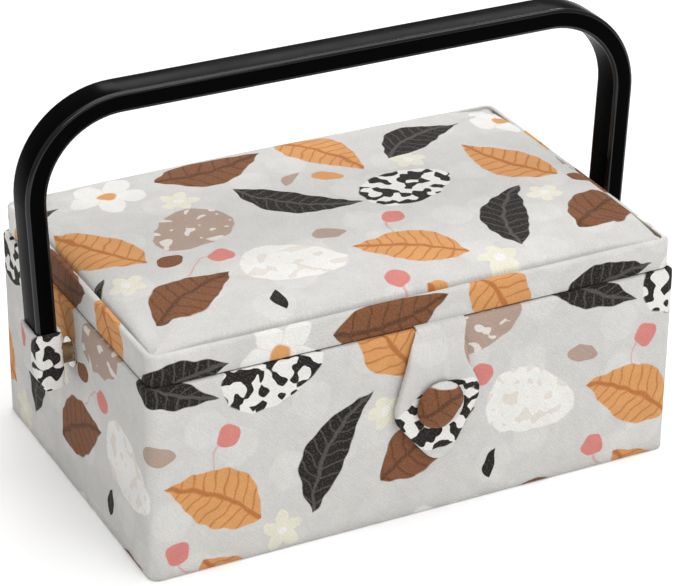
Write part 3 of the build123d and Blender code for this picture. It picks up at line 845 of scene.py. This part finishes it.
class SEWINGBOX_OT_lid_band(bpy.types.Operator):
    """Printed cotton round the lid's frame, rolled over wadding at its upper edge"""

    bl_idname = "sewing_box.lid_band"
    bl_label = "Lid Band"

    def execute(self, context):
        sizes, colours = chosen(context)
        low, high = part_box("lid_band_cover")
        bm = block(low, high)
        bmesh.ops.inset_region(bm, faces=facing(bm, UP), thickness=sizes.rim_width, use_even_offset=True)
        middle = largest(facing(bm, UP))
        sunk = bmesh.ops.extrude_face_region(bm, geom=[middle])["geom"]
        bmesh.ops.translate(bm, vec=(0, 0, -sizes.rim_depth), verts=pick(sunk, BMVert))
        floor = pick(sunk, BMFace)
        floor += [middle] if middle.is_valid and middle not in floor else []
        bmesh.ops.delete(bm, geom=floor, context="FACES_ONLY")
        bmesh.ops.inset_region(bm, faces=facing(bm, -UP), thickness=sizes.rim_width, use_even_offset=True)
        bmesh.ops.delete(bm, geom=[largest(facing(bm, -UP))], context="FACES_ONLY")
        outside = [edge for edge in upright_edges(bm) if abs(edge.verts[0].co.x) > high.x - SAME]
        inside = [edge for edge in upright_edges(bm) if edge not in outside]
        round_off(bm, outside, sizes.corner, 6)
        round_off(bm, inside, sizes.rim_corner, 6)
        roundings = ((high.z, sizes.rim_roll, True), (high.z, sizes.rim_lip, False), (low.z, 0.8 * MM, True))
        for level, radius, outer in roundings:
            edges = [edge for edge in brink(bm, level) if beyond_rim(edge, sizes, high) == outer]
            round_off(bm, edges, radius, 4)
        slice_rows(bm, (0, 1), low, high, 5 * MM)
        ripple(bm, 0.3 * MM, 30 * MM, 3.0, lambda point: ease(point.z, low.z, low.z + 6 * MM))
        map_wrapped(bm, high.x, high.y, sizes.corner)
        cotton = printed_cotton("Printed cotton, lid band", colours, (96, 31), relief=0.35)
        piece = piece_from(bm, "lid_band_cloth", cotton, "lid")
        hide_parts("lid_band_cover")
        return {"FINISHED"}


class SEWINGBOX_OT_lid_pad(bpy.types.Operator):
    """Padded panel of the lid: wadding under printed cotton, drawn down into the crease"""

    bl_idname = "sewing_box.lid_pad"
    bl_label = "Lid Pad"

    def execute(self, context):
        sizes, colours = chosen(context)
        low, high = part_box("lid_top_cover")
        top = high.z - 0.3 * MM
        low, high = Vector((low.x, low.y, low.z + 1.6 * MM)), Vector((high.x, high.y, top))
        bm = block(low, high)
        round_off(bm, upright_edges(bm), sizes.rim_corner - 0.4 * MM, 5)
        round_off(bm, border(facing(bm, UP)), sizes.pad_edge, 4)
        slice_rows(bm, (0, 1), low, high, 2.8 * MM)
        for vert in bm.verts:
            edge_x, edge_y = high.x - abs(vert.co.x), high.y - abs(vert.co.y)
            near_corner = (1 - ease(edge_x, 0, 32 * MM)) * (1 - ease(edge_y, 0, 32 * MM))
            drop = sizes.pad_drop_x * (vert.co.x / high.x) ** 2
            drop += sizes.pad_drop_y * (vert.co.y / high.y) ** 2
            drop += sizes.pad_shoulder * (1 - ease(min(edge_x, edge_y), 0, 13 * MM))
            drop += sizes.pad_corner_fall * near_corner
            vert.co.z -= drop * ease(vert.co.z, low.z, top)
        cotton = printed_cotton("Printed cotton, lid pad", colours, (118, 70), relief=0.35)
        map_flat(bm, 0, 1)
        piece = piece_from(bm, "lid_pad", cotton, "lid", crease=60)
        inflate(piece, lambda point: point.z < low.z + 1.5 * MM, pressure=3.0, most=1.1 * MM)
        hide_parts("lid_top_cover", "lid_padding")
        return {"FINISHED"}


class SEWINGBOX_OT_hinge(bpy.types.Operator):
    """Cotton tape that hinges the lid along the back"""

    bl_idname = "sewing_box.hinge"
    bl_label = "Hinge Tape"

    def execute(self, context):
        colours = context.scene.sewing_box_colours
        low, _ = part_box("hinge_cloth_lower")
        upper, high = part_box("hinge_cloth_upper")
        behind, inset = low.y, upper.y
        # Up the back of the box, over the joint, and up the back of the lid, which lies a little further in
        path = [
            (behind, low.z),
            (behind, 91.5 * MM),
            (behind, 93.8 * MM),
            (behind - 0.8 * MM, 94.4 * MM),
            (inset + 0.3 * MM, 94.8 * MM),
            (inset, 95.8 * MM),
            (inset, high.z),
        ]
        bm = swept_strip(path, low.x, high.x - low.x, 48)
        thicken_strip(bm)
        tape = printed_cotton("Printed cotton, hinge tape", colours, (51, 63))
        piece = piece_from(bm, "hinge_tape", tape)
        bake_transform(piece)
        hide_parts("hinge_cloth_lower", "hinge_cloth_upper")
        return {"FINISHED"}


class SEWINGBOX_OT_tab(bpy.types.Operator):
    """Padded strap tab, and the tongue of cloth that holds it under the lid"""

    bl_idname = "sewing_box.tab"
    bl_label = "Strap Tab"

    def execute(self, context):
        sizes, colours = chosen(context)
        low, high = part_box("tab_cover")
        button_low, button_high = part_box("button_cover")
        button = (button_low + button_high) / 2
        middle, back, front = (low.x + high.x) / 2, high.y, low.y
        outline = [
            (TAB_TOP_SHIFT + sizes.tab_top_width / 2, 0),
            (TAB_TOP_SHIFT - sizes.tab_top_width / 2, 0),
            (-14.0 * MM, 11.5 * MM),
            (0.2 * MM - sizes.tab_shoulder / 2, sizes.tab_shoulder_drop + sizes.tab_skew),
            (2.7 * MM, sizes.tab_point),
            (0.2 * MM + sizes.tab_shoulder / 2, sizes.tab_shoulder_drop),
            (12.6 * MM, 14.0 * MM),
        ]
        bm = bmesh.new()
        verts = [bm.verts.new((middle + x, back - 0.3 * MM, high.z - drop)) for x, drop in outline]
        bm.faces.new(verts)
        waist, shoulders, tip = [verts[6]], [verts[3], verts[5]], [verts[4]]
        for corners, radius in ((tip, 13.5 * MM), (shoulders, 5.0 * MM), (waist, 3.0 * MM)):
            round_off(bm, corners, radius, 8, "VERTICES")
        raised = pick(bmesh.ops.extrude_face_region(bm, geom=bm.faces[:])["geom"], BMVert)
        bmesh.ops.translate(bm, vec=(0, front - back + 0.9 * MM, 0), verts=raised)
        bmesh.ops.recalc_face_normals(bm, faces=bm.faces)
        round_off(bm, border(facing(bm, Vector((0, -1, 0)))), 1.6 * MM, 3)
        round_off(bm, border(facing(bm, Vector((0, 1, 0)))), 0.8 * MM, 2)
        even = remeshed(bm, sizes.tab_voxel)
        every_way = {"use_axis_x": True, "use_axis_y": True, "use_axis_z": True}
        bmesh.ops.smooth_vert(even, verts=even.verts, factor=0.5, **every_way)
        tuck_under_lid(even, low, high, 0)
        for vert in even.verts:
            depth = (back - vert.co.y) / (back - front)
            reach = math.hypot(vert.co.x - button.x, vert.co.z - button.z)
            if depth > 0.5:
                vert.co.y += 0.9 * MM * (1 - ease(reach, 8 * MM, 15 * MM))
        map_flat(even, 0, 2)
        cotton = printed_cotton("Printed cotton, tab", colours, (164, 127), math.pi)
        piece = piece_from(even, "tab_cloth", cotton, "tab", crease=80)

        def held(point):
            under_button = math.hypot(point.x - button.x, point.z - button.z) < 9.5 * MM
            return under_button or point.y > back - 1.2 * MM or point.z > high.z - 2 * MM

        inflate(piece, held, pressure=5.0, most=0.9 * MM)
        for vert in piece.data.vertices:
            front_share = ease(back - vert.co.y, 1.2 * MM, 2.2 * MM)
            vert.co.y += front_share * tab_folds(vert.co, middle, button)
            lip = ease(vert.co.z, high.z - 1.3 * MM, high.z - 0.2 * MM)
            vert.co.y = min(vert.co.y, back - 0.1 * MM) + lip * MM
            vert.co.z = min(vert.co.z, high.z - 0.1 * MM) + 0.5 * MM * lip
        subdivide(piece)
        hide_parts("tab_cover")

        bm = bmesh.new()
        bm.from_mesh(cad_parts["tab_core"].data)
        bmesh.ops.remove_doubles(bm, verts=bm.verts, dist=SAME)
        slice_rows(bm, (2,), high - UP * (20 * MM), high, 2 * MM)
        tuck_under_lid(bm, low, high, TAB_TOP_SHIFT)
        core = piece_from(bm, "tab_core_card", grey_card(colours), "tab")
        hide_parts("tab_core")

        tongue_low, tongue_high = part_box("tab_tongue")
        # From under the lid's rail, out and down in front of the box: how far back each place lies, and
        # how many millimetres above the tongue's own level
        bend = [
            (tongue_high.y, 0.4),
            (-0.0831, 0.4),
            (-0.0842, 0.3),
            (-0.0850, 0.0),
            (-0.0856, -0.6),
            (-0.0860, -1.5),
            (-0.0863, -2.7),
            (-0.0865, -3.9),
            (-0.0867, -5.1),
        ]
        path = [(y, tongue_low.z + lift * MM) for y, lift in bend]
        tongue_middle = middle + TAB_TOP_SHIFT
        tongue_width = sizes.tab_top_width - 1.0 * MM
        bm = swept_strip(path, tongue_middle - tongue_width / 2, tongue_width, 8)
        for vert in bm.verts:
            narrowing = 0.12 * ease(tongue_low.z - vert.co.z, 0, 4 * MM)
            vert.co.x -= (vert.co.x - tongue_middle) * narrowing
        thicken_strip(bm)
        tongue = piece_from(bm, "tab_tongue_cloth", cotton)
        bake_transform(tongue)
        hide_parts("tab_tongue")
        return {"FINISHED"}


class SEWINGBOX_OT_button(bpy.types.Operator):
    """Button covered with printed cotton, drawn tight over its domed shell"""

    bl_idname = "sewing_box.button"
    bl_label = "Covered Button"

    def execute(self, context):
        sizes, colours = chosen(context)
        low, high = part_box("button_cover")
        centre = (low + high) / 2
        # Radius and depth behind the crown, in shares of the button's radius and rise
        section = [
            (0.0, 0.0),
            (0.26, 0.022),
            (0.50, 0.09),
            (0.70, 0.22),
            (0.85, 0.42),
            (0.945, 0.64),
            (0.99, 0.82),
            (1.0, 0.90),
            (0.975, 0.965),
            (0.90, 1.0),
        ]
        # Small puckers round the rim, where the cloth is drawn in
        puckers, pucker_depth = 24, 0.09 * MM
        bm = bmesh.new()
        rise = high.y - low.y
        verts = [
            bm.verts.new((centre.x + share * sizes.button_radius, low.y + depth * rise, centre.z))
            for share, depth in section
        ]
        edges = [bm.edges.new(pair) for pair in zip(verts, verts[1:])]
        round_axis = {"cent": (centre.x, 0, centre.z), "axis": (0, 1, 0), "angle": math.tau}
        bmesh.ops.spin(bm, geom=verts + edges, dvec=(0, 0, 0), steps=96, use_merge=True, **round_axis)
        bmesh.ops.remove_doubles(bm, verts=bm.verts, dist=SAME)
        for vert in bm.verts:
            arm = Vector((vert.co.x - centre.x, 0, vert.co.z - centre.z))
            share = arm.length / sizes.button_radius
            pull = math.sin(math.atan2(arm.z, arm.x) * puckers) * pucker_depth
            vert.co += arm.normalized() * pull * ease(share, 0.85, 1.0)
        map_flat(bm, 0, 2)
        cotton = printed_cotton("Printed cotton, button", colours, (29, -31))
        piece = piece_from(bm, "button_cloth", cotton, "tab", crease=70)
        thicken(piece, 0.5 * MM)
        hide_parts("button_cover")
        return {"FINISHED"}


class SEWINGBOX_OT_handle(bpy.types.Operator):
    """Black moulded bail handle"""

    bl_idname = "sewing_box.handle"
    bl_label = "Handle"

    def execute(self, context):
        sizes, colours = chosen(context)
        low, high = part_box("handle")
        width, thickness = high.y - low.y, 9.6 * MM
        # Heights of the bar and of the legs' lower ends, and how far out these ends stand
        bar, foot, foot_x = high.z - thickness / 2, 62.0 * MM, 142.834 * MM
        slope = sizes.handle_lean / (bar - sizes.handle_shoulder - foot)
        lean = math.atan(slope)
        bm = bmesh.new()
        bmesh.ops.create_grid(bm, x_segments=1, y_segments=1, size=0.5)
        bmesh.ops.scale(bm, vec=(thickness, width, 1), verts=bm.verts)
        round_off(bm, bm.verts[:], sizes.handle_edge, 4, "VERTICES")
        bmesh.ops.rotate(bm, cent=(0, 0, 0), matrix=Matrix.Rotation(-lean, 3, "Y"), verts=bm.verts)
        bmesh.ops.translate(bm, vec=(-foot_x, 0, foot), verts=bm.verts)
        end = bm.faces[:]
        turn = math.pi / 2 + lean
        # Straight run of each leg: up to where the bend is tangent to leg and bar
        tangent = sizes.handle_shoulder * math.tan(turn / 2)
        leg = (bar - foot) / math.cos(lean) - tangent
        bend_x = foot_x + slope * (bar - foot)
        # Straight runs say how far they go, and bends where their centre lies
        bend_level = bar - sizes.handle_shoulder
        runs = [
            ("straight", Vector((-math.sin(lean), 0, math.cos(lean))) * leg, 10),
            ("bend", Vector((-bend_x + tangent, 0, bend_level)), 20),
            ("straight", Vector((2 * (bend_x - tangent), 0, 0)), 24),
            ("bend", Vector((bend_x - tangent, 0, bend_level)), 20),
            ("straight", Vector((-math.sin(lean), 0, -math.cos(lean))) * leg, 10),
        ]
        for kind, vector, steps in runs:
            if kind == "bend":
                way = {"cent": vector, "axis": (0, 1, 0), "dvec": (0, 0, 0), "angle": turn}
                end = pick(bmesh.ops.spin(bm, geom=end, steps=steps, **way)["geom_last"], BMFace)
                continue
            for _step in range(steps):
                grown = bmesh.ops.extrude_face_region(bm, geom=end)["geom"]
                end = pick(grown, BMFace)
                bmesh.ops.translate(bm, vec=vector / steps, verts=pick(grown, BMVert))
        black = colours.handle
        plastic = moulded("Moulded black polypropylene", black, rough=(0.18, 0.26), specular=0.008)
        # The tool was polished along its edges, so they shine more than the faces between them
        polished = moulded("Polished black polypropylene", black, rough=(0.10, 0.16), specular=0.4)
        bm.normal_update()
        for face in bm.faces:
            face.material_index = int(min(edge.calc_length() for edge in face.edges) < MM)
        piece = piece_from(bm, "handle_moulding", plastic, "handle", crease=50)
        piece.data.materials.append(polished)
        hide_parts("handle")
        return {"FINISHED"}


class SEWINGBOX_OT_sleeves(bpy.types.Operator):
    """Cloth sleeves folded round both ends of the handle"""

    bl_idname = "sewing_box.sleeves"
    bl_label = "Handle Sleeves"

    def execute(self, context):
        sizes, colours = chosen(context)
        for side, sign, shift in (("left", -1, (6, 22)), ("right", 1, (22, 96))):
            low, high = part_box(side + "_sleeve")
            reach, corner = 12.8 * MM, 2.6 * MM
            slope = (high.x - low.x - reach) / (high.z - low.z) * sign
            middle_x = (low.x + high.x) / 2
            near, far = middle_x - reach / 2, middle_x + reach / 2
            bm = block(Vector((near, low.y, low.z)), Vector((far, high.y, high.z)))
            bmesh.ops.delete(bm, geom=facing(bm, UP), context="FACES_ONLY")
            round_off(bm, upright_edges(bm), corner, 4)
            round_off(bm, border(facing(bm, -UP)), 1.2 * MM, 3)
            slice_rows(bm, (2,), low, high, 1.6 * MM)
            slice_rows(bm, (1,), low, high, 2.0 * MM)
            for vert in bm.verts:
                outward = (vert.co.x - middle_x) * sign / (reach / 2)
                fold = 1 - ease(vert.co.z, low.z, low.z + 8 * MM)
                if outward > 0:
                    vert.co.x -= sign * sizes.sleeve_taper * fold * outward
                vert.co.y *= 1 - 0.10 * fold
                vert.co.x += slope * (vert.co.z - (low.z + high.z) / 2)
            ripple(bm, 0.35 * MM, 9 * MM, 7.0 + sign)
            map_wrapped(bm, reach / 2, high.y, corner, Vector((middle_x, 0, 0)))
            cotton = printed_cotton(f"Printed cotton, {side} sleeve", colours, shift, turn=1.3)
            name = side + "_sleeve_cloth"
            piece = piece_from(bm, name, cotton, "handle", 60, turn_out=False)
            thicken(piece, sizes.sleeve_wall)
            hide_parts(side + "_sleeve")
        return {"FINISHED"}


class SEWINGBOX_OT_linings(bpy.types.Operator):
    """Cloth-covered card that lines the box, the floor pad and the tray's supports"""

    bl_idname = "sewing_box.linings"
    bl_label = "Linings"

    def execute(self, context):
        colours = context.scene.sewing_box_colours
        cotton = plain_cotton("Lining cotton", colours.lining)
        panels = {
            "front_lining": (0, 1, 0),
            "back_lining": (0, -1, 0),
            "left_lining": (1, 0, 0),
            "right_lining": (-1, 0, 0),
            "left_tray_support": (1, 0, 0),
            "right_tray_support": (-1, 0, 0),
        }
        for node, room in panels.items():
            cloth_panel(node, "box", cotton, room, 0.35 * MM)
        cloth_panel("floor_pad", "box", cotton, (0, 0, 1), 0.8 * MM)
        cloth_panel("lid_lining", "lid", cotton, (0, 0, -1), 0.4 * MM)
        return {"FINISHED"}


class SEWINGBOX_OT_lid_fittings(bpy.types.Operator):
    """Pin cushion and gathered pocket inside the lid"""

    bl_idname = "sewing_box.lid_fittings"
    bl_label = "Lid Fittings"

    def execute(self, context):
        sizes, colours = chosen(context)
        low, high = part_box("pin_cushion")
        inset = Vector((1.5 * MM, 1.5 * MM, 0))
        bm = block(low + inset + Vector((0, 0, 1.5 * MM)), high - inset)
        round_off(bm, upright_edges(bm), 8 * MM, 5)
        round_off(bm, border(facing(bm, -UP)), 2.5 * MM, 3)
        even = remeshed(bm, sizes.cushion_voxel)
        cotton = plain_cotton("Pin cushion cotton", colours.cushion, fuzz=0.2)
        piece = piece_from(even, "pin_cushion_cloth", cotton, "lid", crease=80)
        inflate(piece, lambda point: point.z > high.z - 1.2 * MM, pressure=4.0, most=2.0 * MM)
        for vert in piece.data.vertices:
            vert.co.z = min(max(vert.co.z, low.z), high.z)
        subdivide(piece)
        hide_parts("pin_cushion")

        low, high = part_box("lid_pocket")
        bm = block(low, high)
        slice_rows(bm, (0,), low, high, 2.0 * MM)
        slice_rows(bm, (1,), low, high, 4.0 * MM)
        for vert in bm.verts:
            if vert.co.z < high.z - SAME:
                mouth = 1 - ease(vert.co.y, low.y, low.y + 30 * MM)
                gather = math.sin(vert.co.x / MM * 1.25 + noise.noise(vert.co / 0.01) * 2) * 0.5 + 0.5
                vert.co.z += (0.2 + 0.8 * gather) * 0.9 * MM * mouth
                vert.co.z += 0.3 * MM * (noise.noise(vert.co / 0.015) + 0.5)
        cotton = plain_cotton("Lining cotton", colours.lining)
        pocket = piece_from(bm, "lid_pocket_cloth", cotton, "lid", crease=60)
        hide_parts("lid_pocket")
        return {"FINISHED"}


class SEWINGBOX_OT_hard_parts(bpy.types.Operator):
    """Materials of the boards, the tray and the metal fittings"""

    bl_idname = "sewing_box.hard_parts"
    bl_label = "Boards, Tray and Metal"

    def execute(self, context):
        colours = context.scene.sewing_box_colours
        # Grey board made from pulp: brown-grey, matt, with fibres
        pressed = {"dark": 0.8, "scale": 0.8, "rough": 0.9, "relief": 0.4}
        board = flecked("Pressed grey board", colours.board, **pressed)
        dress(board, "base_board", "front_wall", "back_wall", "left_wall", "right_wall", "lid_board")
        dress(board, "lid_front_rail", "lid_back_rail", "lid_left_rail", "lid_right_rail")
        dress(grey_card(colours), "top_card")
        # Spun-bonded base cloth: dark, felted, no shine
        felted = {"dark": 0.7, "scale": 0.5, "rough": 0.95, "relief": 0.6}
        dress(flecked("Non-woven base cloth", colours.base, **felted), "base_cover")
        # Moulded tray: clean white plastic with a soft shine
        white = {"rough": (0.3, 0.42), "specular": 0.5}
        dress(moulded("Moulded white polypropylene", colours.tray, **white), "tray")
        nickel = plated("Nickel-plated steel", colours.nickel, rough=(0.18, 0.34))
        dress(nickel, "left_pin", "right_pin", "left_washer", "right_washer")
        dress(nickel, "left_back_plate", "right_back_plate", "snap_stud", "snap_backing", "snap_socket")
        brass = plated("Antiqued brass", colours.brass, rough=(0.3, 0.5))
        dress(brass, "left_spacer", "right_spacer")
        aluminium = plated("Pressed aluminium", colours.aluminium, rough=(0.22, 0.4))
        dress(aluminium, "button_shell", "button_back")
        return {"FINISHED"}


class SEWINGBOX_OT_stage(bpy.types.Operator):
    """Pale floor, soft studio light and camera"""

    bl_idname = "sewing_box.stage"
    bl_label = "Stage"

    def execute(self, context):
        scene = context.scene
        bm = bmesh.new()
        bmesh.ops.create_grid(bm, x_segments=1, y_segments=1, size=4.0)
        add, end = new_material("Pale paper floor")
        where = add("TexCoord")
        mottle = add("TexNoise", {"Vector": where.outputs["Object"], "Scale": 3.0})
        tone = add("MapRange", (mottle, 0.3, 0.7, 0.93, 0.95))
        # Lit a little from below, as a light table, so that the shadows stay faint
        glow = {"Emission Color": (1.0, 1.0, 1.0, 1.0), "Emission Strength": 0.12}
        material = end({"Base Color": tone, "Roughness": 1.0, "Specular IOR Level": 0.0, **glow})
        floor = piece_from(bm, "studio_floor", material)

        world = bpy.data.worlds.new("Studio")
        world.use_nodes = True
        sky = world.node_tree.nodes["Background"]
        feed(world.node_tree, sky, {"Color": (1.0, 1.0, 1.0, 1.0), "Strength": 0.42})
        scene.world = world
        # Name, place, what it points at, width, height and watts
        lights = [
            ("Overhead softbox", (0.2, -0.1, 1.6), (0.0, 0.0, 0.0), 1.6, 1.6, 18.2),
            ("Front softbox", (-0.1, -1.3, 1.05), (0.0, 0.0, 0.05), 1.5, 0.25, 8.1),
            ("Back softbox", (0.65, 1.26, 0.94), (0.0, 0.0, 0.15), 0.9, 0.35, 6.5),
        ]
        for name, place, target, width, height, power in lights:
            data = bpy.data.lights.new(name, "AREA")
            data.shape = "RECTANGLE"
            data.size, data.size_y, data.energy = width, height, power
            lamp = bpy.data.objects.new(name, data)
            lamp.location = place
            lamp.rotation_euler = (Vector(target) - Vector(place)).to_track_quat("-Z", "Y").to_euler()
            scene.collection.objects.link(lamp)

        data = bpy.data.cameras.new("Camera")
        data.sensor_width, data.lens, data.clip_end = 36.0, 151.01, 50.0
        data.shift_x, data.shift_y = -0.0137, 0.0011
        camera = bpy.data.objects.new("Camera", data)
        azimuth, elevation, roll = -27.23, 27.81, 0.617
        place = Matrix.Translation((-0.5249, -1.0349, 0.6829))
        for angle, axis in ((azimuth, "Z"), (90 - elevation, "X"), (roll, "Z")):
            place = place @ Matrix.Rotation(math.radians(angle), 4, axis)
        camera.matrix_world = place
        scene.collection.objects.link(camera)
        scene.camera = camera
        scene.view_settings.view_transform = "Standard"
        return {"FINISHED"}


PIECES = (
    SEWINGBOX_OT_body_cover,
    SEWINGBOX_OT_lid_band,
    SEWINGBOX_OT_lid_pad,
    SEWINGBOX_OT_hinge,
    SEWINGBOX_OT_tab,
    SEWINGBOX_OT_button,
    SEWINGBOX_OT_handle,
    SEWINGBOX_OT_sleeves,
    SEWINGBOX_OT_linings,
    SEWINGBOX_OT_lid_fittings,
    SEWINGBOX_OT_hard_parts,
    SEWINGBOX_OT_stage,
)


class SEWINGBOX_PT_panel(bpy.types.Panel):
    """Sidebar panel with every piece of the sewing box"""

    bl_idname = "SEWINGBOX_PT_panel"
    bl_label = "Sewing Box"
    bl_space_type = "VIEW_3D"
    bl_region_type = "UI"
    bl_category = "Sewing Box"

    def draw(self, context):
        for settings in (context.scene.sewing_box_sizes, context.scene.sewing_box_colours):
            column = self.layout.column(align=True)
            for key in settings.__annotations__:
                column.prop(settings, key)
        column = self.layout.column(align=True)
        for piece in PIECES:
            column.operator(piece.bl_idname)


CLASSES = (SewingBoxSizes, SewingBoxColours, *PIECES, SEWINGBOX_PT_panel)


def register():
    """Make the settings, the operators and the panel known to Blender."""
    for item in CLASSES:
        bpy.utils.register_class(item)
    bpy.types.Scene.sewing_box_sizes = PointerProperty(type=SewingBoxSizes)
    bpy.types.Scene.sewing_box_colours = PointerProperty(type=SewingBoxColours)


def unregister():
    """Take them away again."""
    del bpy.types.Scene.sewing_box_colours
    del bpy.types.Scene.sewing_box_sizes
    for item in reversed(CLASSES):
        bpy.utils.unregister_class(item)


def main():
    """Register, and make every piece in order."""
    register()
    for piece in PIECES:
        group, name = piece.bl_idname.split(".")
        getattr(getattr(bpy.ops, group), name)()


if __name__ == "__main__":
    main()
